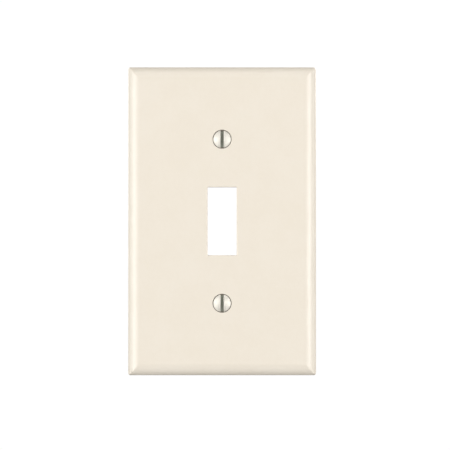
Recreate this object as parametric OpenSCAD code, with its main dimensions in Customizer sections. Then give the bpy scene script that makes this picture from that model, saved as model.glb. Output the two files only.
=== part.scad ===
// Wall plate for one toggle switch, with its two slotted screws and their retaining washers.
// +Z is up, +X is to the right seen from the room, and -Y points into the room.
// The origin is the middle of the rim's back face, which lies on the wall.

/* [Plate] */
// Width of the plate
plate_w = 69.85; // [66:0.05:90]
// Height of the plate
plate_h = 114.3; // [108:0.1:140]
// Depth from the wall to the flat of the face
plate_depth = 5.6; // [5.4:0.1:6.5]
// Thickness of the face wall
face_t = 2.3; // [2:0.1:2.4]
// Thickness of the rim
rim_t = 2; // [1.8:0.1:2.5]
// Radius of the four corners of the outline
corner_r = 1; // [0.5:0.1:2]
// Width of the rounded front edge, seen from the front
edge_w = 4.8; // [3:0.1:4.8]
// Radius of the rounded front edge
edge_r = 5.5; // [5.4:0.1:7]
// How far each side leans in over the whole depth
side_lean = 0.6; // [0:0.1:1]

/* [Lever opening] */
// Width of the opening for the lever
opening_w = 10.7; // [10:0.1:12]
// Height of the opening for the lever
opening_h = 25.1; // [23:0.1:27]
// Thickness of the collar behind the opening
collar_t = 1.4; // [1:0.1:2]

/* [Back of the plate] */
// Height of the ribs and the collar behind the face wall
rib_h = 1.5; // [0.8:0.1:1.7]
// Thickness of the stiffening ribs
rib_t = 1.2; // [0.8:0.1:2]
// Distance from the middle to each upright rib
rib_x = 14; // [11:0.5:20]
// Outer diameter of the boss round each screw hole
boss_d = 10.5; // [9:0.1:12]
// Height of each boss behind the face wall
boss_h = 0.5; // [0.3:0.1:0.6]

/* [Screws] */
// Distance between the two screws
screw_spacing = 60.325; // [58:0.005:64]
// Diameter of the screw head
head_d = 6.55; // [6.2:0.05:6.75]
// Diameter that the countersink's cone would have at the face
sink_d = 7.05; // [7:0.05:7.5]
// Diameter of the straight land round the head
land_d = 6.95; // [6.9:0.05:7.2]
// Depth of the straight land
land_depth = 0.5; // [0.4:0.05:0.6]
// Height of the head's crown above its edge
crown_h = 0.95; // [0.5:0.05:1.2]
// Width of the screwdriver slot
slot_w = 1.2; // [0.9:0.05:1.4]
// Depth of the screwdriver slot below the top of the crown
slot_depth = 1.45; // [1:0.05:1.6]
// Outer diameter of the thread
thread_d = 3.505; // [3.4:0.005:3.6]
// Diameter of the smooth neck under the head
neck_d = 2.75; // [2.6:0.01:2.85]
// Length of the screw from the face to its tip
screw_len = 12.7; // [9.5:0.1:19]
// Diameter of the screw holes through the plate
hole_d = 4.2; // [3.8:0.1:4.6]

/* [Retaining washers] */
// Outer diameter of a washer
washer_d = 8.5; // [7.5:0.1:9]
// Thickness of a washer
washer_t = 0.5; // [0.4:0.05:0.6]
// Radial clearance between a washer and the neck
washer_fit = 0.06; // [0.02:0.01:0.1]

/* [Hidden] */
$fn = 96;
plastic = [0.95, 0.91, 0.84];
zinc = [0.8, 0.81, 0.79];
nylon = [0.93, 0.93, 0.9];

// Cutters run past the surfaces that they cut by this much
over = 1;

// Places along Y, from the room to the wall
face_y = -plate_depth;
inner_y = face_y + face_t;
rib_y = inner_y + rib_h;
boss_y = inner_y + boss_h;

// The switch's strap would lie this far in front of the wall, and the washers rest on it
strap_y = -1.3;
washer_y = strap_y - washer_t;
thread_y = strap_y + 0.2;
tip_y = face_y + screw_len;
tip_chamfer = 0.5;

// The countersink and the head have the same slope, 82 degrees across, with a hair of air between
sink_slope = tan(82 / 2);
sink_depth = (sink_d - hole_d) / 2 / sink_slope;
seat_gap = 0.06;
rim_y = face_y + (sink_d - head_d) / 2 / sink_slope - seat_gap;
head_base_y = rim_y + (head_d - neck_d) / 2 / sink_slope;
crown_y = rim_y - crown_h;
crown_r = (pow(head_d / 2, 2) + pow(crown_h, 2)) / (2 * crown_h);

// Upright ribs run between two level ribs, and a short spine joins the collar to each boss
level_rib_z = plate_h / 2 - 13;
collar_h = opening_h + 2 * collar_t;
spine_end = screw_spacing / 2 - boss_d / 2 + 0.4;

// Lays what is drawn along +Z out along +Y, from y, at a height of z
module along_y(y, z = 0) {
    translate([0, y, z]) rotate([-90, 0, 0]) children();
}

// A box with its middle at x, z, between two places along Y
module slab(x, z, w, h, from_y, to_y) {
    translate([x - w / 2, from_y, z - h / 2]) cube([w, to_y - from_y, h]);
}

// Section of a block with a flat front, rounded front edges and leaning sides, with its depth as the
// second axis
module edge_section(half, depth, round_w, r, lean, below) {
    middle = half - round_w;
    foot = half + lean * below / depth;
    translate([-middle, -below]) square([2 * middle, depth + below]);
    intersection() {
        for (side = [-1, 1]) translate([side * middle, depth - r]) circle(r = r, $fn = 180);
        polygon([[-foot, -below], [foot, -below], [half - lean, depth], [lean - half, depth]]);
    }
}

// Outline with small round corners
module outline(w, h) {
    square([w - 2 * corner_r, h], center = true);
    square([w, h - 2 * corner_r], center = true);
    for (x = [-1, 1], z = [-1, 1])
        translate([x * (w / 2 - corner_r), z * (h / 2 - corner_r)]) circle(r = corner_r);
}

// Block whose upright and level sections cross, so that its rounded edges meet in mitres
module rounded_block(w, h, depth, round_w, r, lean = 0, below = 0) {
    intersection() {
        rotate([0, 0, 180])
            linear_extrude(h, center = true) edge_section(w / 2, depth, round_w, r, lean, below);
        rotate([0, -90, 180])
            linear_extrude(w, center = true) edge_section(h / 2, depth, round_w, r, lean, below);
        along_y(-depth) linear_extrude(depth + below) outline(w, h);
    }
}

// The face wall and the rim, hollow behind
module shell() {
    difference() {
        rounded_block(plate_w, plate_h, plate_depth, edge_w, edge_r, lean = side_lean);
        rounded_block(plate_w - 2 * rim_t, plate_h - 2 * rim_t, plate_depth - face_t,
            edge_w - rim_t, edge_r - face_t, below = over);
    }
}

// Ribs, collar and bosses behind the face wall, sunk a little into it
module stiffeners() {
    root_y = inner_y - over;
    slab(0, 0, opening_w + 2 * collar_t, collar_h, root_y, rib_y);
    for (side = [-1, 1]) {
        slab(side * rib_x, 0, rib_t, 2 * level_rib_z, root_y, rib_y);
        slab(0, side * level_rib_z, plate_w - 2 * rim_t - over, rib_t, root_y, rib_y);
        slab(0, side * (collar_h / 2 + spine_end) / 2, rib_t, spine_end - collar_h / 2 + over,
            root_y, rib_y);
        along_y(root_y, side * screw_spacing / 2) cylinder(h = boss_y - root_y, d = boss_d);
    }
}

// A countersunk hole through the face wall and its boss, with a straight land that leaves a narrow
// groove round the head
module screw_hole(z) {
    along_y(face_y - over, z) cylinder(h = land_depth + over, d = land_d);
    along_y(face_y - over, z)
        cylinder(h = sink_depth + over, r1 = sink_d / 2 + over * sink_slope, r2 = hole_d / 2);
    along_y(face_y, z) cylinder(h = boss_y + over - face_y, d = hole_d);
}

module wall_plate() {
    color(plastic) difference() {
        union() {
            shell();
            stiffeners();
        }
        slab(0, 0, opening_w, opening_h, face_y - over, rib_y + over);
        for (side = [-1, 1]) screw_hole(side * screw_spacing / 2);
    }
}

// Domed head, cone, smooth neck, thread and chamfered tip, less the screwdriver slot
module screw(z) {
    color(zinc) difference() {
        union() {
            intersection() {
                translate([0, crown_y + crown_r, z]) sphere(r = crown_r);
                along_y(crown_y - over, z) cylinder(h = crown_h + over, d = head_d);
            }
            along_y(rim_y, z)
                cylinder(h = head_base_y - rim_y, r1 = head_d / 2, r2 = neck_d / 2);
            along_y(head_base_y, z) cylinder(h = thread_y - head_base_y, d = neck_d);
            along_y(thread_y, z) cylinder(h = tip_y - tip_chamfer - thread_y, d = thread_d);
            along_y(tip_y - tip_chamfer, z)
                cylinder(h = tip_chamfer, r1 = thread_d / 2, r2 = thread_d / 2 - tip_chamfer);
        }
        slab(0, z, slot_w, head_d + over, crown_y - over, crown_y + slot_depth);
    }
}

// Flat ring that turns on the neck and can't pass the thread
module retainer(z) {
    color(nylon) difference() {
        along_y(washer_y, z) cylinder(h = washer_t, d = washer_d);
        along_y(washer_y - over, z) cylinder(h = washer_t + 2 * over, d = neck_d + 2 * washer_fit);
    }
}

module upper_screw() { screw(screw_spacing / 2); }
module lower_screw() { screw(-screw_spacing / 2); }
module upper_retainer() { retainer(screw_spacing / 2); }
module lower_retainer() { retainer(-screw_spacing / 2); }

wall_plate();
upper_screw();
lower_screw();
upper_retainer();
lower_retainer();
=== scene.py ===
"""Light almond wall plate for one toggle switch, with its slotted screws and retaining washers."""

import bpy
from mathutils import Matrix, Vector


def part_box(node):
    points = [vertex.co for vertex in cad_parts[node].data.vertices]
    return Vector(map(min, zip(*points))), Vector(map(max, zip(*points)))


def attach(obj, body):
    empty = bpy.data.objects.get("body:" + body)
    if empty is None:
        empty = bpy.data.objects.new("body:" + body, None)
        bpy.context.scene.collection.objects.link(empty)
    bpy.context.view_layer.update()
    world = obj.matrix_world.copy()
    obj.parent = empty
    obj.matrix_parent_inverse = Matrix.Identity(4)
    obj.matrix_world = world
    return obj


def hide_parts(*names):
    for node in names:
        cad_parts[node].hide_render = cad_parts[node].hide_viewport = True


bl_info = {
    "name": "Toggle Wall Plate",
    "version": (1, 0, 0),
    "blender": (4, 5, 0),
    "location": "3D View > Sidebar > Wall Plate",
    "description": "Builds a moulded wall plate, its screws and washers, and a small studio",
    "category": "Add Mesh",
}

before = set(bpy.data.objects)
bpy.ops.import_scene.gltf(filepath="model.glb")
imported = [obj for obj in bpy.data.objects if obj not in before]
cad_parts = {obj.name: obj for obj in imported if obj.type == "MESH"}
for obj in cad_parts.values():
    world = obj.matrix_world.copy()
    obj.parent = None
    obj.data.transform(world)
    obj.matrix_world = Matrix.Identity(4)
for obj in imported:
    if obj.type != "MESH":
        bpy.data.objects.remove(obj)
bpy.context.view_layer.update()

import math

import bmesh
import bpy
from mathutils import Vector

MM = 0.001

# Faces that meet at more than this keep a hard edge
HARD_EDGE = math.radians(34)

# Points round each turned or bored shape
COLUMNS = 96

# Straight pieces that stand for a small moulded edge, and for a larger bend
FILLET_STEPS = 5
BEND_STEPS = 6

# The screw heads and their countersinks are cones of 82 degrees, so they narrow by this for each step in
SINK_SLOPE = math.tan(math.radians(41))

# Solids that cut or join run past the surface they meet by this much
OVERLAP = 0.6 * MM

# A fillet meets a flat face a little before its tangent point, so that the two cross cleanly
FILLET_SHORTFALL = 0.02

PLATE_LOW, PLATE_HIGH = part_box("wall_plate")
SCREW_LOW, SCREW_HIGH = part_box("upper_screw")
WASHER_LOW, WASHER_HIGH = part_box("upper_retainer")
SCREW_HEIGHT = (SCREW_LOW[2] + SCREW_HIGH[2]) / 2


def length(name, description, default):
    """A size in metres."""
    return bpy.props.FloatProperty(
        name=name, description=description, default=default, min=0.0, precision=5, unit="LENGTH"
    )


def amount(name, description, default, high=1.0):
    """A plain number from 0 up."""
    return bpy.props.FloatProperty(
        name=name, description=description, default=default, min=0.0, max=high
    )


def colour(name, description, default):
    """A linear colour."""
    return bpy.props.FloatVectorProperty(
        name=name, description=description, default=default, size=3, min=0.0, max=1.0, subtype="COLOR"
    )


def brightness(name, description, default):
    """Brightness of a row of lights."""
    return bpy.props.FloatVectorProperty(
        name=name, description=description, default=default, size=len(default), min=0.0
    )


class PlateSizes(bpy.types.PropertyGroup):
    """Sizes of the moulded plate."""

    width: length("Width", "Width over the rim", PLATE_HIGH[0] - PLATE_LOW[0])
    height: length("Height", "Height over the rim", PLATE_HIGH[2] - PLATE_LOW[2])
    depth: length("Depth", "From the wall to the flat of the face", PLATE_HIGH[1] - PLATE_LOW[1])
    face: length("Face wall", "Thickness of the face wall", 2.3 * MM)
    rim: length("Rim", "Thickness of the rim", 2.0 * MM)
    corner: length("Corner radius", "Radius of the outline's corners", 1.0 * MM)
    mitre: length("Mitre radius", "Softness of the mitred front corners", 0.35 * MM)
    edge_width: length("Edge width", "Width of the rounded front edge", 4.8 * MM)
    edge_radius: length("Edge radius", "Radius of the rounded front edge", 5.5 * MM)
    lean: length("Lean", "How far the sides lean in over the depth", 0.6 * MM)
    crease: length("Crease", "Softening between the side and the front edge", 0.5 * MM)
    fillet: length("Fillet", "Radius of the small moulded edges", 0.2 * MM)
    opening_width: length("Opening width", "Width of the lever opening", 10.7 * MM)
    opening_height: length("Opening height", "Height of the lever opening", 25.1 * MM)
    collar: length("Collar", "Wall of the collar behind the opening", 1.4 * MM)
    rib_height: length("Rib height", "Height of the ribs and the collar", 1.5 * MM)
    rib_width: length("Rib width", "Thickness of the ribs", 1.2 * MM)
    rib_offset: length("Rib offset", "From the middle to each upright rib", 14.0 * MM)
    level_rib_inset: length("Level rib inset", "From the rim to each level rib", 13.0 * MM)
    boss_width: length("Boss width", "Diameter of the screw bosses", 10.5 * MM)
    boss_height: length("Boss height", "Height of the screw bosses", 0.5 * MM)
    sink_width: length("Countersink", "Diameter of the countersinks' cone at the face", 7.05 * MM)
    land_width: length("Land", "Diameter of the straight land round each head", 6.95 * MM)
    land_depth: length("Land depth", "Depth of the straight land", 0.5 * MM)
    hole_width: length("Screw hole", "Diameter of the screw holes", 4.2 * MM)
    pin_width: length("Pin mark", "Diameter of the ejector pin marks", 3.4 * MM)
    pin_depth: length("Pin mark depth", "Depth of the ejector pin marks", 0.2 * MM)


class ScrewSizes(bpy.types.PropertyGroup):
    """Sizes of the slotted oval-head screws."""

    head: length("Head", "Diameter of the head", SCREW_HIGH[0] - SCREW_LOW[0])
    crown: length("Crown", "Height of the crown above its edge", 0.95 * MM)
    edge: length("Head edge", "Radius of the head's edge", 0.07 * MM)
    neck: length("Neck", "Diameter of the smooth neck", 2.75 * MM)
    thread: length("Thread", "Outer diameter of the thread", 3.505 * MM)
    root: length("Root", "Diameter at the root of the thread", 2.66 * MM)
    pitch: length("Pitch", "Distance between turns of the thread", 0.79375 * MM)
    chamfer: length("Chamfer", "Chamfer at the tip", 0.5 * MM)
    slot_width: length("Slot width", "Width of the screwdriver slot", 1.2 * MM)
    slot_depth: length("Slot depth", "Depth of the slot below the crown", 1.45 * MM)
    slot_break: length("Slot break", "Small chamfer along the slot", 0.07 * MM)


class WasherSizes(bpy.types.PropertyGroup):
    """Sizes of the retaining washers."""

    width: length("Width", "Outer diameter", WASHER_HIGH[0] - WASHER_LOW[0])
    hole: length("Hole", "Diameter of the hole", 2.87 * MM)
    edge: length("Edge", "Radius of the moulded edges", 0.12 * MM)
    dish: length("Dish", "Depth of the shallow ring sunk into each side", 0.08 * MM)


class Finishes(bpy.types.PropertyGroup):
    """Colours and surface of the materials."""

    almond: colour("Almond", "Colour of the moulded plastic", (0.732, 0.672, 0.580))
    almond_deep: colour("Deep almond", "Darker patches in the plastic", (0.717, 0.654, 0.557))
    gloss: amount("Plastic roughness", "Roughness of the plastic", 0.36)
    nickel: colour("Nickel", "Colour of the plated screws", (0.795, 0.765, 0.70))
    # Worn plating, and also the painted shade in the roots of the thread
    nickel_worn_and_shaded: colour("Worn nickel", "Colour where the plating is rubbed", (0.71, 0.685, 0.62))
    # Painted shade for the bottom of the screwdriver slot
    slot: colour("Slot shade", "Colour at the bottom of the slot", (0.36, 0.37, 0.31))
    # Painted shade in the screw holes and on the rims of the heads: a near-black that stands for the shade
    # in the gap round each head
    painted_shade: colour("Grime", "Colour of the dust that gathers round the heads", (0.10, 0.085, 0.065))
    nylon: colour("Nylon", "Colour of the washers", (0.83, 0.83, 0.78))
    floor: colour("Floor", "Colour of the floor", (0.80, 0.80, 0.79))


class StudioSettings(bpy.types.PropertyGroup):
    """Camera and light."""

    camera_distance: length("Camera distance", "From the face to the camera", 500 * MM)
    frame_width: length("Frame width", "Width that the camera sees at the face", 165.4 * MM)
    camera_right: length("Camera right", "How far the camera stands to the right", 1.07 * MM)
    camera_down: length("Camera down", "How far the camera stands below the middle", 1.38 * MM)
    backdrop: amount("Backdrop", "Brightness of the backdrop", 1.02, 10.0)
    ambient: amount("Ambient", "Brightness of the room", 0.10, 10.0)
    left: brightness("Left lights", "Brightness of each, front to side", (3.7, 3.9, 6.0, 7.2, 4.7))
    right: brightness("Right lights", "Brightness of each, front to side", (2.9, 5.3, 8.0, 3.9, 3.8))
    top: brightness("Top lights", "Brightness of each, front to top", (0.5, 1.15, 2.3))
    floor_glow: amount("Floor glow", "Brightness of the light under the floor", 0.95)
    below: amount("Low light", "Brightness of the light below the plate", 1.35, 10.0)
    rear: brightness("Rear lights", "Brightness of the lights behind the plate", (6.0, 3.0))


def sizes(context, name):
    """One of the add-on's groups of settings."""
    return getattr(context.scene, f"wall_plate_{name}")


# Meshes

def arc(centre, radius, start, end, steps):
    """Points of a circle from start to end degrees, as (across, along)."""
    angles = [math.radians(start + (end - start) * step / steps) for step in range(steps + 1)]
    return [(centre[0] + radius * math.cos(a), centre[1] + radius * math.sin(a)) for a in angles]


def curve(start, control, end, steps):
    """Points of a smooth bend from start to end that leans towards control."""
    start, control, end = Vector(start), Vector(control), Vector(end)
    ratios = [step / steps for step in range(steps + 1)]
    return [tuple(start * (1 - t) ** 2 + control * 2 * t * (1 - t) + end * t * t) for t in ratios]


def circle(radius, columns):
    """Points round a circle."""
    turns = [2 * math.pi * column / columns for column in range(columns)]
    return [(radius * math.cos(turn), radius * math.sin(turn)) for turn in turns]


def rounded_rectangle(half_width, half_height, radius, steps=8):
    """Points round a rectangle with round corners."""
    points = []
    for quarter, (side, top) in enumerate(((1, 1), (-1, 1), (-1, -1), (1, -1))):
        middle = (side * (half_width - radius), top * (half_height - radius))
        points += arc(middle, radius, 90 * quarter, 90 * (quarter + 1), steps)
    return points


def new_object(name, bm):
    """An object made of a bmesh, with its faces turned outwards."""
    bmesh.ops.recalc_face_normals(bm, faces=bm.faces)
    mesh = bpy.data.meshes.new(name)
    bm.to_mesh(mesh)
    bm.free()
    made = bpy.data.objects.new(name, mesh)
    bpy.context.scene.collection.objects.link(made)
    return made


def loft(name, outlines, middle=(0.0, 0.0)):
    """A closed solid through outlines, a list of (y, points), round a middle (x, z)."""
    bm = bmesh.new()
    rows = [
        [bm.verts.new((middle[0] + x, y, middle[1] + z)) for x, z in points]
        for y, points in outlines
    ]
    for near, far in zip(rows, rows[1:]):
        for a, b, c, d in zip(near, near[1:] + near[:1], far[1:] + far[:1], far):
            bm.faces.new((a, b, c, d))
    bm.faces.new(rows[0])
    bm.faces.new(rows[-1])
    return new_object(name, bm)


def combine(base, operation, others):
    """Joins others to base, or cuts them away, and removes them."""
    for other in others:
        modifier = base.modifiers.new(operation, "BOOLEAN")
        modifier.operation = operation
        modifier.solver = "MANIFOLD"
        modifier.object = other
    apply_modifiers(base)
    for other in others:
        bpy.data.meshes.remove(other.data)


def apply_modifiers(piece):
    """Replaces a piece's mesh by what its modifiers make of it."""
    evaluated = piece.evaluated_get(bpy.context.evaluated_depsgraph_get())
    mesh = bpy.data.meshes.new_from_object(evaluated)
    piece.modifiers.clear()
    old, piece.data = piece.data, mesh
    bpy.data.meshes.remove(old)
    mesh.name = piece.name


def shade(piece):
    """Smooth shading with hard edges, and flat faces that stay flat."""
    piece.data.shade_smooth()
    piece.data.set_sharp_from_angle(angle=HARD_EDGE)
    modifier = piece.modifiers.new("weighted normals", "WEIGHTED_NORMAL")
    modifier.keep_sharp = True
    modifier.weight = 100
    apply_modifiers(piece)


def finish_piece(piece, body, nodes, material):
    """Gives a piece its material and its place in the frame."""
    if not piece.data.polygons:
        raise RuntimeError(f"{piece.name} came out empty")
    piece.data.materials.clear()
    piece.data.materials.append(material)
    shade(piece)
    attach(piece, body)
    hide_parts(*nodes)


# The plate

# Straight pieces that stand for the rounded front edge, and for the hollow's bend behind it
EDGE_STEPS = 28
HOLLOW_STEPS = 16

# The softened crease reaches this share of its own size onto the rounded edge
CREASE_REACH = 0.6

# The ejector pins' places, as shares of the plate's width and height
PIN_ACROSS = 0.36
PIN_UP = 0.28
PIN_END = 0.445

# Width of a pin mark's floor, as a share of the width of its mouth
PIN_FLOOR = 0.94


def plate_edge(plate):
    """Half section of the plate's outside, as (inset, y) from the rim to the face."""
    slope = plate.lean / plate.depth
    centre = (plate.edge_width, plate.edge_radius - plate.depth)
    crease_angle = math.degrees(math.asin((plate.edge_width - plate.lean / 2) / plate.edge_radius))
    front = arc(centre, plate.edge_radius, 270 - crease_angle, 270, EDGE_STEPS)
    crease = front[0]
    bend_start = (crease[0] - slope * plate.crease, crease[1] + plate.crease)
    foot = curve((plate.fillet, 0.0), (0.0, 0.0), (slope * plate.fillet, -plate.fillet), 4)
    keep = [point for point in front if point[1] < crease[1] - plate.crease * CREASE_REACH]
    return foot + curve(bend_start, crease, keep[0], BEND_STEPS) + keep[1:]


def plate_block(plate):
    """The plate's outside, solid."""
    outlines = []
    for inset, y in plate_edge(plate):
        radius = max(plate.corner - inset, plate.mitre)
        half = (plate.width / 2 - inset, plate.height / 2 - inset)
        outlines.append((y, rounded_rectangle(*half, radius)))
    return loft("moulded_plate", outlines)


def hollow(plate):
    """The space behind the face wall, which keeps the wall even round the front edge."""
    radius = plate.edge_radius - plate.face
    centre = (plate.edge_width - plate.rim, plate.edge_radius - plate.depth)
    side_angle = math.degrees(math.asin(centre[0] / radius))
    lip_centre = (-plate.fillet, -plate.fillet * (1 - FILLET_SHORTFALL))
    lip = arc(lip_centre, plate.fillet, 90, 0, FILLET_STEPS)
    bend = arc(centre, radius, 270 - side_angle, 270, HOLLOW_STEPS)
    inside = [(-plate.fillet, OVERLAP), *lip, *bend]
    half_width = plate.width / 2 - plate.rim
    half_height = plate.height / 2 - plate.rim
    return loft("hollow", [
        (y, rounded_rectangle(half_width - inset, half_height - inset, plate.corner + plate.fillet))
        for inset, y in inside
    ])


def raised_section(floor, top, fillet, edge):
    """Section of a rib or boss as (outset, y): sunk in the floor, a filleted foot and a round top."""
    foot = arc((fillet, floor + fillet * (1 - FILLET_SHORTFALL)), fillet, 270, 180, FILLET_STEPS)
    shoulder = arc((-edge, top - edge), edge, 0, 90, FILLET_STEPS)
    return [(fillet, floor - OVERLAP), *foot, *shoulder]


def stiffeners(plate):
    """Ribs, collar and bosses on the back of the face wall."""
    floor = plate.face - plate.depth
    top = floor + plate.rib_height
    level = plate.height / 2 - plate.level_rib_inset
    rib = plate.rib_width / 2
    collar = (plate.opening_width / 2 + plate.collar, plate.opening_height / 2 + plate.collar)
    spine_top = SCREW_HEIGHT - plate.boss_width / 2 + 2 * plate.fillet
    spine = ((collar[1] + spine_top) / 2, (spine_top - collar[1]) / 2 + OVERLAP)
    boxes = [((0, 0), collar)]
    for side in (-1, 1):
        boxes.append(((side * plate.rib_offset, 0), (rib, level)))
        boxes.append(((0, side * level), (plate.width / 2 - plate.rim + OVERLAP / 2, rib)))
        boxes.append(((0, side * spine[0]), (rib, spine[1])))
    section = raised_section(floor, top, plate.fillet, plate.fillet)
    made = [
        loft("rib", [
            (y, rounded_rectangle(half[0] + out, half[1] + out, plate.fillet * 1.5 + out))
            for out, y in section
        ], middle)
        for middle, half in boxes
    ]
    section = raised_section(floor, floor + plate.boss_height, plate.fillet, plate.fillet / 2)
    for side in (-1, 1):
        rings = [(y, circle(plate.boss_width / 2 + out, COLUMNS)) for out, y in section]
        made.append(loft("boss", rings, (0, side * SCREW_HEIGHT)))
    return made


def through_section(front, back, fillet):
    """Section of a through hole as (outset, y), with its edges rounded at both faces."""
    reach = fillet * (1 - FILLET_SHORTFALL)
    return [
        (fillet, front - OVERLAP),
        *arc((fillet, front + reach), fillet, 270, 180, FILLET_STEPS),
        *arc((fillet, back - reach), fillet, 180, 90, FILLET_STEPS),
        (fillet, back + OVERLAP),
    ]


def lever_opening(plate):
    """The cutter of the lever opening."""
    back = plate.face - plate.depth + plate.rib_height
    half = (plate.opening_width / 2, plate.opening_height / 2)
    return loft("opening", [
        (y, rounded_rectangle(half[0] + out, half[1] + out, plate.fillet + out))
        for out, y in through_section(-plate.depth, back, plate.fillet)
    ])


def screw_hole(plate, height):
    """The cutter of one screw hole: a straight land, a step, the countersink's cone and the bore."""
    sink, land, hole = plate.sink_width / 2, plate.land_width / 2, plate.hole_width / 2
    front, back = -plate.depth, plate.face - plate.depth + plate.boss_height
    fillet = plate.fillet / 2
    reach = fillet * (1 - FILLET_SHORTFALL)
    section = [
        (land + fillet, front - OVERLAP),
        *arc((land + fillet, front + reach), fillet, 270, 180, 4),
        (land, front + plate.land_depth),
        (sink - plate.land_depth * SINK_SLOPE, front + plate.land_depth),
        (hole, front + (sink - hole) / SINK_SLOPE),
        *arc((hole + fillet, back - reach), fillet, 180, 90, 4),
        (hole + fillet, back + OVERLAP),
    ]
    return loft("hole", [(y, circle(radius, COLUMNS)) for radius, y in section], (0, height))


def pin_marks(plate):
    """Cutters of the shallow round marks that ejector pins leave behind the face."""
    floor = plate.face - plate.depth
    across, up, end = plate.width * PIN_ACROSS, plate.height * PIN_UP, plate.height * PIN_END
    places = [(0, end), (0, -end)]
    places += [(side * across, level * up) for side in (-1, 1) for level in (-1, 0, 1)]
    radius = plate.pin_width / 2
    section = [(radius, floor + OVERLAP), (radius, floor), (radius * PIN_FLOOR, floor - plate.pin_depth)]
    rings = [(y, circle(r, COLUMNS // 2)) for r, y in section]
    return [loft("pin", rings, place) for place in places]


class WALLPLATE_OT_plate(bpy.types.Operator):
    """Build the moulded plate in place of its plain solid"""

    bl_idname = "wallplate.plate"
    bl_label = "Moulded Plate"

    def execute(self, context):
        plate = sizes(context, "plate")
        piece = plate_block(plate)
        combine(piece, "DIFFERENCE", [hollow(plate)])
        combine(piece, "UNION", stiffeners(plate))
        holes = [screw_hole(plate, side * SCREW_HEIGHT) for side in (-1, 1)]
        combine(piece, "DIFFERENCE", [lever_opening(plate), *holes, *pin_marks(plate)])
        finish_piece(piece, "plate", ["wall_plate"], almond_plastic(context))
        return {"FINISHED"}


# The screws

# The thread starts this far behind the washer, so that the washer can't ride up on it
THREAD_GAP = 0.2 * MM

# Points closer than this are one point
WELD = 1e-7

# One turn of thread: (share of the pitch, share of the thread's depth) at each corner of the profile
THREAD_PROFILE = ((0.0, 1.0), (0.125, 1.0), (0.4375, 0.0), (0.6875, 0.0))

# Bend between the head's cone and the neck
NECK_BEND = 0.2 * MM

# Sections along the slot's cutter, and the rounding at the bottom of the slot
SLOT_STATIONS = 32
SLOT_ROUND = 0.18 * MM


def thread_rows(screw, start, tip):
    """Rows of (radius, y) along the thread. A row climbs one pitch in a turn and goes on in a later row."""
    turns = math.ceil((tip - start) / screw.pitch)
    crest, root = screw.thread / 2, screw.root / 2
    rows = []
    for turn in range(-1, turns + 1):
        for share, depth in THREAD_PROFILE:
            row = []
            for column in range(COLUMNS):
                y = start + screw.pitch * (turn + share + column / COLUMNS)
                y = min(max(y, start), tip)
                fade = min((y - start) / screw.pitch, 1.0)
                radius = root + (crest - root) * depth * fade
                limit = crest - max(y - (tip - screw.chamfer), 0.0)
                row.append((min(radius, limit), y))
            rows.append(row)
    return rows


def crown_radius(screw):
    """Radius of the sphere that the crown is part of."""
    return ((screw.head / 2) ** 2 + screw.crown ** 2) / (2 * screw.crown)


def head_profile(screw, top):
    """Half section of the head and neck as (radius, y), from the middle of the crown."""
    head, neck, sphere = screw.head / 2, screw.neck / 2, crown_radius(screw)
    dome_angle = math.degrees(math.asin((head - screw.edge) / sphere))
    crown = arc((0.0, top + sphere), sphere, 270, 270 + dome_angle, 20)
    rim = top + screw.crown
    base = rim + (head - neck) / SINK_SLOPE
    edge_end = (head - screw.edge * SINK_SLOPE, rim + screw.edge)
    edge = curve(crown[-1], (head, rim - screw.edge / 4), edge_end, BEND_STEPS)
    bend_start = (neck + NECK_BEND * SINK_SLOPE, base - NECK_BEND)
    fillet = curve(bend_start, (neck, base), (neck, base + NECK_BEND), 4)
    return crown[1:] + edge[1:] + fillet


def close_rows(bm, near, far, near_next, far_next):
    """Faces between two rows that close on the points following their last ones."""
    for a, b, c, d in zip(near, near[1:] + [near_next], far[1:] + [far_next], far):
        bm.faces.new((a, b, c, d))


def turned_screw(screw, name, height):
    """A screw with a domed head, a smooth neck, a rolled thread and a chamfered tip."""
    bm = bmesh.new()
    turns = [2 * math.pi * column / COLUMNS for column in range(COLUMNS)]
    thread_start = WASHER_HIGH[1] + THREAD_GAP
    tip = SCREW_HIGH[1]

    def row(points):
        return [
            bm.verts.new((radius * math.cos(turn), y, height + radius * math.sin(turn)))
            for turn, (radius, y) in zip(turns, points)
        ]

    profile = head_profile(screw, SCREW_LOW[1]) + [(screw.root / 2, thread_start)]
    plain = [row([point] * COLUMNS) for point in profile]
    for near, far in zip(plain, plain[1:]):
        close_rows(bm, near, far, near[0], far[0])
    thread = [row(points) for points in thread_rows(screw, thread_start, tip)]
    step = len(THREAD_PROFILE)
    for near, far, near_later, far_later in zip(thread, thread[1:], thread[step:], thread[step + 1:]):
        close_rows(bm, near, far, near_later[0], far_later[0])
    bmesh.ops.remove_doubles(bm, verts=bm.verts, dist=WELD)
    loose = [vert for vert in bm.verts if not vert.link_faces]
    bmesh.ops.delete(bm, geom=loose, context="VERTS")
    open_edges = [edge for edge in bm.edges if edge.is_boundary]
    bmesh.ops.holes_fill(bm, edges=open_edges, sides=0)
    return new_object(name, bm)


def slot_cutter(screw, height):
    """A cutter for the screwdriver slot, with a small chamfer that follows the crown."""
    head, half, sphere = screw.head / 2, screw.slot_width / 2, crown_radius(screw)
    top = SCREW_LOW[1]
    bottom = top + screw.slot_depth
    outlines = []
    for station in range(SLOT_STATIONS + 1):
        along = head * 1.2 * (2 * station / SLOT_STATIONS - 1)
        reach = min(abs(along), head)
        surface = top + sphere - math.sqrt(sphere ** 2 - reach ** 2 - half ** 2)
        side = [
            (half - SLOT_ROUND, bottom),
            (half, bottom - SLOT_ROUND),
            (half, surface + screw.slot_break),
            (half + 2 * screw.slot_break, surface - screw.slot_break),
            (half + 2 * screw.slot_break, top - OVERLAP),
        ]
        outline = side + [(-across, y) for across, y in reversed(side)]
        outlines.append([(across, y, height + along) for across, y in outline])
    return strip_solid("slot", outlines)


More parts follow.
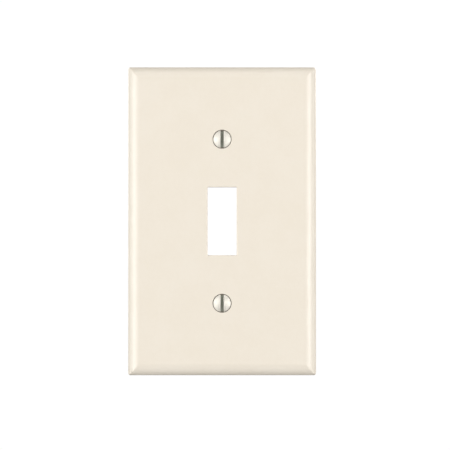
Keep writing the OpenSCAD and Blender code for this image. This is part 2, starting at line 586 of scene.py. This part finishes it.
def strip_solid(name, outlines):
    """A closed solid through outlines of (x, y, z) points, with a cap on each end."""
    bm = bmesh.new()
    rows = [[bm.verts.new(point) for point in outline] for outline in outlines]
    for near, far in zip(rows, rows[1:]):
        close_rows(bm, near, far, near[0], far[0])
    bm.faces.new(rows[0])
    bm.faces.new(rows[-1])
    return new_object(name, bm)


class WALLPLATE_OT_screws(bpy.types.Operator):
    """Build both slotted screws in place of their plain solids"""

    bl_idname = "wallplate.screws"
    bl_label = "Slotted Screws"

    def execute(self, context):
        screw = sizes(context, "screw")
        for name in ("upper", "lower"):
            low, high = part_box(f"{name}_screw")
            height = (low[2] + high[2]) / 2
            piece = turned_screw(screw, f"{name}_slotted_screw", height)
            combine(piece, "DIFFERENCE", [slot_cutter(screw, height)])
            material = plated_steel(context, f"plated_steel_{name}", height)
            finish_piece(piece, f"{name}_fixing", [f"{name}_screw"], material)
        return {"FINISHED"}


# The washers

# The groove in each side runs between these shares of the way from the hole to the outside
GROOVE = (0.32, 0.72)


def washer_ring(washer, name, height):
    """A moulded ring with round edges and a shallow groove in each side."""
    front, back = WASHER_LOW[1], WASHER_HIGH[1]
    inner, outer, edge = washer.hole / 2, washer.width / 2, washer.edge
    start, end = (inner + (outer - inner) * share for share in GROOVE)
    dish = washer.dish
    section = [
        *arc((inner + edge, front + edge), edge, 180, 270, FILLET_STEPS),
        (start, front), (start + dish, front + dish), (end - dish, front + dish), (end, front),
        *arc((outer - edge, front + edge), edge, 270, 360, FILLET_STEPS),
        *arc((outer - edge, back - edge), edge, 0, 90, FILLET_STEPS),
        (end, back), (end - dish, back - dish), (start + dish, back - dish), (start, back),
        *arc((inner + edge, back - edge), edge, 90, 180, FILLET_STEPS),
    ]
    bm = bmesh.new()
    rows = [
        [bm.verts.new((x, y, height + z)) for x, z in circle(radius, COLUMNS)]
        for radius, y in section
    ]
    for near, far in zip(rows, rows[1:] + rows[:1]):
        close_rows(bm, near, far, near[0], far[0])
    return new_object(name, bm)


class WALLPLATE_OT_washers(bpy.types.Operator):
    """Build both retaining washers in place of their plain solids"""

    bl_idname = "wallplate.washers"
    bl_label = "Retaining Washers"

    def execute(self, context):
        washer = sizes(context, "washer")
        material = washer_nylon(context)
        for name in ("upper", "lower"):
            low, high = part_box(f"{name}_retainer")
            piece = washer_ring(washer, f"{name}_washer_ring", (low[2] + high[2]) / 2)
            finish_piece(piece, f"{name}_washer", [f"{name}_retainer"], material)
        return {"FINISHED"}


# Materials

class Value:
    """An output socket that Python's operators work on. Each one adds a Math node."""

    def __init__(self, shader, socket):
        self.shader = shader
        self.socket = socket

    def maths(self, operation, *others):
        """A Math node with this value in its first socket."""
        sockets = dict(enumerate((self, *others)))
        return self.shader.node("ShaderNodeMath", {"operation": operation}, sockets)

    def __add__(self, other):
        return self.maths("ADD", other)

    def __sub__(self, other):
        return self.maths("SUBTRACT", other)

    def __rsub__(self, other):
        return self.shader.node("ShaderNodeMath", {"operation": "SUBTRACT"}, {0: other, 1: self})

    def __mul__(self, other):
        return self.maths("MULTIPLY", other)

    def __truediv__(self, other):
        return self.maths("DIVIDE", other)

    def __pow__(self, other):
        return self.maths("POWER", other)

    def __abs__(self):
        return self.maths("ABSOLUTE")

    __radd__ = __add__
    __rmul__ = __mul__


class Shader:
    """A material being made, whose one method adds every node."""

    def __init__(self, name):
        self.material = bpy.data.materials.new(name)
        self.material.use_nodes = True
        self.tree = self.material.node_tree
        self.tree.nodes.clear()

    def node(self, kind, settings=None, sockets=None, output=0):
        """Adds a node, makes its settings, then gives its sockets their values or links."""
        made = self.tree.nodes.new(kind)
        for name, setting in (settings or {}).items():
            setattr(made, name, setting)
        for name, value in (sockets or {}).items():
            if isinstance(value, Value):
                self.tree.links.new(value.socket, made.inputs[name])
            else:
                made.inputs[name].default_value = value
        return Value(self, made.outputs[output]) if made.outputs else None

    def end(self, kind, sockets):
        """Ends the material in a surface of this kind with these sockets."""
        surface = self.node(kind, sockets=sockets)
        self.node("ShaderNodeOutputMaterial", sockets={"Surface": surface})
        return self.material

    def finish(self, sockets):
        """Ends the material in a Principled surface with these sockets."""
        return self.end("ShaderNodeBsdfPrincipled", sockets)


# How much of the colour is painted shade where it is darkest: in the screw holes, and on a head's rim
HOLE_SHADE = 0.85
RIM_SHADE = 0.6

PLASTIC_IOR = 1.5
WHITE = (1.0, 1.0, 1.0)

# A mask that ends on a cut face reaches past it by this much
MASK_MARGIN = 0.01 * MM

# A Mix node has sockets for numbers and vectors too, so its colour sockets go by their places
FIRST_COLOUR = 6
SECOND_COLOUR = 7
COLOUR_RESULT = 2


def opaque(tint):
    """A colour with full alpha."""
    return (*tint, 1.0)


def mix(shader, factor, first, second):
    """A colour between two, each a plain colour or a colour socket."""
    return shader.node(
        "ShaderNodeMix",
        {"data_type": "RGBA"},
        {"Factor": factor, FIRST_COLOUR: first, SECOND_COLOUR: second},
        output=COLOUR_RESULT,
    )


def step_up(value, start, end):
    """A smooth rise from 0 at start to 1 at end."""
    return value.shader.node(
        "ShaderNodeMapRange",
        {"interpolation_type": "SMOOTHSTEP"},
        {"Value": value, "From Min": start, "From Max": end},
    )


def split(vector):
    """The three values of a vector."""
    return [
        vector.shader.node("ShaderNodeSeparateXYZ", sockets={"Vector": vector}, output=axis)
        for axis in ("X", "Y", "Z")
    ]


def cloud(vector, size, detail=2.0):
    """Noise from 0 to 1 whose lumps are about this size in metres."""
    return vector.shader.node(
        "ShaderNodeTexNoise",
        sockets={"Vector": vector, "Scale": 1 / size, "Detail": detail, "Roughness": 0.5},
    )


def stretched(vector, factors):
    """A vector with each axis multiplied."""
    return vector.shader.node(
        "ShaderNodeVectorMath", {"operation": "MULTIPLY"}, {0: vector, 1: factors}
    )


def bump(height, distance, strength):
    """A normal that follows a height from 0 to 1 over a distance in metres."""
    return height.shader.node(
        "ShaderNodeBump", sockets={"Height": height, "Distance": distance, "Strength": strength}
    )


def screw_hole_shade(plate, across, along, up):
    """Where shade is painted in the two screw holes: 1 from just under the face to near the back of its
    wall.
    """
    floor, land = plate.face - plate.depth, plate.land_width / 2
    rise = abs(up) - SCREW_HEIGHT
    radius = (across * across + rise * rise) ** 0.5
    under_face = step_up(along, 0.05 * MM - plate.depth, 0.3 * MM - plate.depth)
    near_back = step_up(along, floor - 0.5 * MM, floor - 0.2 * MM)
    outside = step_up(radius, land, land + 0.05 * MM)
    return under_face * (1 - near_back) * (1 - outside)


def almond_plastic(context):
    """Moulded plastic: faint mottling, a satin skin, polished front edges, a matt back, painted shade in
    the screw holes.
    """
    finish, plate = sizes(context, "finishes"), sizes(context, "plate")
    shader = Shader("moulded_almond")
    spot = shader.node("ShaderNodeTexCoord", output="Object")
    across, along, up = split(spot)
    patches, flecks, skin = cloud(spot, 9 * MM, 3), cloud(spot, 1.3 * MM, 3), cloud(spot, 0.45 * MM)
    from_edge = (plate.width / 2 - abs(across)).maths("MINIMUM", plate.height / 2 - abs(up))
    floor = plate.face - plate.depth
    front = 1 - step_up(along, floor - 0.08 * MM, floor - 0.02 * MM)
    rubbed = front * (1 - step_up(from_edge, 0.4 * MM, plate.edge_width))
    # Painted shade: the colour goes towards a near-black in the screw holes, standing for the shade in the
    # gap round each head
    shade_mask = screw_hole_shade(plate, across, along, up) * HOLE_SHADE
    tint = mix(
        shader,
        step_up(patches * 0.65 + flecks * 0.35, 0.3, 0.7),
        opaque(finish.almond),
        opaque(finish.almond_deep),
    )
    relief = (skin * 0.6 + flecks * 0.4) * (2.5 - front * 1.5)
    rough = finish.gloss + (patches - 0.5) * 0.10 + (flecks - 0.5) * 0.06 - rubbed * 0.06
    return shader.finish({
        "Base Color": mix(shader, shade_mask, tint, opaque(finish.painted_shade)),
        "Roughness": rough + (1 - front) * 0.14,
        "IOR": PLASTIC_IOR,
        "Normal": bump(relief, 0.03 * MM, 0.8),
    })


def plated_steel(context, name, height):
    """Bright plating with tumbling marks, painted shade on the rim, and painted shade in the slot and the
    thread.
    """
    finish, screw = sizes(context, "finishes"), sizes(context, "screw")
    shader = Shader(name)
    spot = shader.node("ShaderNodeTexCoord", output="Object")
    across, along, up = split(spot)
    radius = (across * across + (up - height) * (up - height)) ** 0.5
    head, top = screw.head / 2, SCREW_LOW[1]
    # Painted shade in the slot: the colour turns dark and less metallic towards the bottom of the slot
    depth = along - top - radius * radius / (2 * crown_radius(screw))
    between_walls = abs(across).maths("LESS_THAN", screw.slot_width / 2 + MASK_MARGIN)
    above_floor = along.maths("LESS_THAN", top + screw.slot_depth + MASK_MARGIN)
    in_slot = step_up(depth, 0.05 * MM, 0.35 * MM) * between_walls * above_floor
    on_shank = step_up(along, WASHER_HIGH[1], WASHER_HIGH[1] + 0.1 * MM)
    in_root = on_shank * (1 - step_up(radius, screw.root / 2, screw.thread / 2))
    streaks = cloud(stretched(spot, (1.0, 1.0, 0.12)), 0.16 * MM, 3)
    blotches = cloud(spot, 1.6 * MM, 3)
    rim = step_up(radius, head * 0.80, head * 0.95)
    # Painted shade: a thin dark band on the head's outer rim, standing for the shade in the gap round the
    # head
    shade_mask = step_up(radius, head * 0.97, head * 0.995) * (1 - on_shank)
    # Wear from streaks, blotches and the rim, and painted shade darkening the roots of the thread
    wear_and_root_shade = step_up(streaks * 0.5 + blotches * 0.5, 0.35, 0.75) * 0.6 + rim * 0.15 + in_root * 0.5
    tint = mix(shader, wear_and_root_shade, opaque(finish.nickel), opaque(finish.nickel_worn_and_shaded))
    tint = mix(shader, shade_mask * RIM_SHADE, tint, opaque(finish.painted_shade))
    return shader.finish({
        "Base Color": mix(shader, in_slot, tint, opaque(finish.slot)),
        "Metallic": 1 - in_slot * 0.7,
        "Roughness": 0.58 + blotches * 0.10 + streaks * 0.08 + in_slot * 0.1 + in_root * 0.1,
        "Normal": bump(streaks * 0.6 + blotches * 0.4, 0.02 * MM, 0.5),
    })


def washer_nylon(context):
    """Milky nylon with soft flow marks."""
    finish = sizes(context, "finishes")
    shader = Shader("washer_nylon")
    spot = shader.node("ShaderNodeTexCoord", output="Object")
    flow, skin = cloud(spot, 2.4 * MM, 3), cloud(spot, 0.3 * MM)
    cloudy = tuple(part * 0.9 for part in finish.nylon)
    return shader.finish({
        "Base Color": mix(shader, step_up(flow, 0.3, 0.7), opaque(finish.nylon), opaque(cloudy)),
        "Roughness": 0.38 + flow * 0.14,
        "Subsurface Weight": 0.2,
        "Subsurface Scale": 0.4 * MM,
        "Normal": bump(skin * 0.7 + flow * 0.3, 0.01 * MM, 0.4),
    })


def floor_paint(context):
    """Pale matt paint, rolled on."""
    finish = sizes(context, "finishes")
    shader = Shader("floor_paint")
    spot = shader.node("ShaderNodeTexCoord", output="Object")
    rolled = cloud(spot, 4 * MM, 3)
    tint = opaque(finish.floor)
    shaded = opaque([part * 0.985 for part in finish.floor])
    shader.material.cycles.emission_sampling = "NONE"
    return shader.finish({
        "Base Color": mix(shader, rolled, tint, shaded),
        "Roughness": 0.8 + rolled * 0.1,
        "Emission Color": mix(shader, rolled, tint, shaded),
        "Emission Strength": sizes(context, "studio").floor_glow,
        "Normal": bump(rolled, 0.05 * MM, 0.3),
    })


def backdrop_glow(context):
    """A white sheet lit evenly from behind."""
    shader = Shader("backdrop_glow")
    shader.material.cycles.emission_sampling = "NONE"
    strength = sizes(context, "studio").backdrop
    return shader.end("ShaderNodeEmission", {"Color": opaque(WHITE), "Strength": strength})


# The studio

# The floor lies this far below the plate's middle, and the backdrop is a dome round everything
FLOOR_DROP = 0.7
DOME_RADIUS = 3.0
FLOOR_COLUMNS = 128

# Each row of lights stands on a circle round the plate, at these angles from straight in front
LIGHT_DISTANCE = 1.0
SIDE_ANGLES = (30, 40, 50, 60, 82)
TOP_ANGLES = (30, 45, 60)
LOW_ANGLE = -55

# The lights behind the plate stand at these angles round it and above it
REAR_ANGLES = ((140, 30), (220, 20))

# Width and height of each kind of light
SIDE_SIZE = (0.175, 0.6)
TOP_SIZE = (1.0, 0.25)
LOW_SIZE = (1.2, 0.8)
REAR_SIZE = (0.8, 0.8)


def set_stage(name, bm, material):
    """A piece of the studio that throws no light on the plate and doesn't reflect in it."""
    made = new_object(name, bm)
    made.data.materials.append(material)
    made.visible_diffuse = False
    made.visible_glossy = False
    return made


def dome(name, radius, floor, material):
    """A dome from the floor up, which casts no shadow either."""
    bm = bmesh.new()
    bmesh.ops.create_uvsphere(bm, u_segments=64, v_segments=32, radius=radius)
    geometry = [*bm.verts, *bm.edges, *bm.faces]
    bmesh.ops.bisect_plane(bm, geom=geometry, plane_co=(0, 0, floor), plane_no=(0, 0, -1), clear_outer=True)
    set_stage(name, bm, material).visible_shadow = False


def floor_disc(name, radius, height, material):
    """A round floor."""
    bm = bmesh.new()
    bm.faces.new([bm.verts.new((x, y, height)) for x, y in circle(radius, FLOOR_COLUMNS)])
    set_stage(name, bm, material)


def softbox(name, side_angle, top_angle, size, strength):
    """A soft rectangular light that faces the plate. Its strength is the brightness of its surface."""
    light = bpy.data.lights.new(name, "AREA")
    light.shape = "RECTANGLE"
    light.size, light.size_y = size
    light.energy = strength * math.pi * size[0] * size[1]
    side, top = math.radians(side_angle), math.radians(top_angle)
    made = bpy.data.objects.new(name, light)
    made.location = LIGHT_DISTANCE * Vector((
        math.sin(side) * math.cos(top), -math.cos(side) * math.cos(top), math.sin(top)
    ))
    made.rotation_euler = (-made.location).to_track_quat("-Z", "Y").to_euler()
    made.visible_camera = False
    bpy.context.scene.collection.objects.link(made)


def room_light(strength):
    """The even light of the room."""
    world = bpy.data.worlds.new("room")
    world.use_nodes = True
    background = world.node_tree.nodes["Background"]
    background.inputs["Color"].default_value = opaque(WHITE)
    background.inputs["Strength"].default_value = strength
    bpy.context.scene.world = world


# Width of the camera's sensor in millimetres, the unit of its lens
SENSOR_WIDTH = 36.0


def studio_camera(studio, face):
    """A long lens that looks straight at the face."""
    lens = bpy.data.cameras.new("camera")
    lens.sensor_width = SENSOR_WIDTH
    lens.lens = SENSOR_WIDTH * studio.camera_distance / studio.frame_width
    lens.clip_start, lens.clip_end = 0.01, 50.0
    camera = bpy.data.objects.new("camera", lens)
    camera.location = (studio.camera_right, face - studio.camera_distance, -studio.camera_down)
    camera.rotation_euler = (math.pi / 2, 0.0, 0.0)
    bpy.context.scene.collection.objects.link(camera)
    bpy.context.scene.camera = camera


class WALLPLATE_OT_stage(bpy.types.Operator):
    """Build the floor, the backdrop, the lights and the camera"""

    bl_idname = "wallplate.stage"
    bl_label = "Studio"

    def execute(self, context):
        studio = sizes(context, "studio")
        floor_disc("floor", DOME_RADIUS, -FLOOR_DROP, floor_paint(context))
        dome("backdrop", DOME_RADIUS, -FLOOR_DROP, backdrop_glow(context))
        for index, angle in enumerate(SIDE_ANGLES):
            softbox(f"left_light_{index}", -angle, 0, SIDE_SIZE, studio.left[index])
            softbox(f"right_light_{index}", angle, 0, SIDE_SIZE, studio.right[index])
        for index, angle in enumerate(TOP_ANGLES):
            softbox(f"top_light_{index}", 0, angle, TOP_SIZE, studio.top[index])
        softbox("low_light", 0, LOW_ANGLE, LOW_SIZE, studio.below)
        for index, (side_angle, top_angle) in enumerate(REAR_ANGLES):
            softbox(f"rear_light_{index}", side_angle, top_angle, REAR_SIZE, studio.rear[index])
        room_light(studio.ambient)
        studio_camera(studio, PLATE_LOW[1])
        context.scene.view_settings.view_transform = "Standard"
        return {"FINISHED"}


# The add-on

OPERATORS = (WALLPLATE_OT_plate, WALLPLATE_OT_screws, WALLPLATE_OT_washers, WALLPLATE_OT_stage)
GROUPS = {
    "plate": PlateSizes,
    "screw": ScrewSizes,
    "washer": WasherSizes,
    "finishes": Finishes,
    "studio": StudioSettings,
}


class WALLPLATE_PT_panel(bpy.types.Panel):
    """The add-on's buttons and settings"""

    bl_idname = "WALLPLATE_PT_panel"
    bl_label = "Wall Plate"
    bl_space_type = "VIEW_3D"
    bl_region_type = "UI"
    bl_category = "Wall Plate"

    def draw(self, context):
        for operator in OPERATORS:
            self.layout.operator(operator.bl_idname)
        for name, group in GROUPS.items():
            box = self.layout.box()
            box.label(text=name.title())
            for setting in group.__annotations__:
                box.prop(sizes(context, name), setting)


def register():
    for group in GROUPS.values():
        bpy.utils.register_class(group)
    for name, group in GROUPS.items():
        setattr(bpy.types.Scene, f"wall_plate_{name}", bpy.props.PointerProperty(type=group))
    for operator in OPERATORS:
        bpy.utils.register_class(operator)
    bpy.utils.register_class(WALLPLATE_PT_panel)


def unregister():
    bpy.utils.unregister_class(WALLPLATE_PT_panel)
    for operator in reversed(OPERATORS):
        bpy.utils.unregister_class(operator)
    for name, group in GROUPS.items():
        delattr(bpy.types.Scene, f"wall_plate_{name}")
        bpy.utils.unregister_class(group)


def main():
    """Builds every piece and the studio."""
    register()
    bpy.ops.wallplate.plate()
    bpy.ops.wallplate.screws()
    bpy.ops.wallplate.washers()
    bpy.ops.wallplate.stage()


if __name__ == "__main__":
    main()
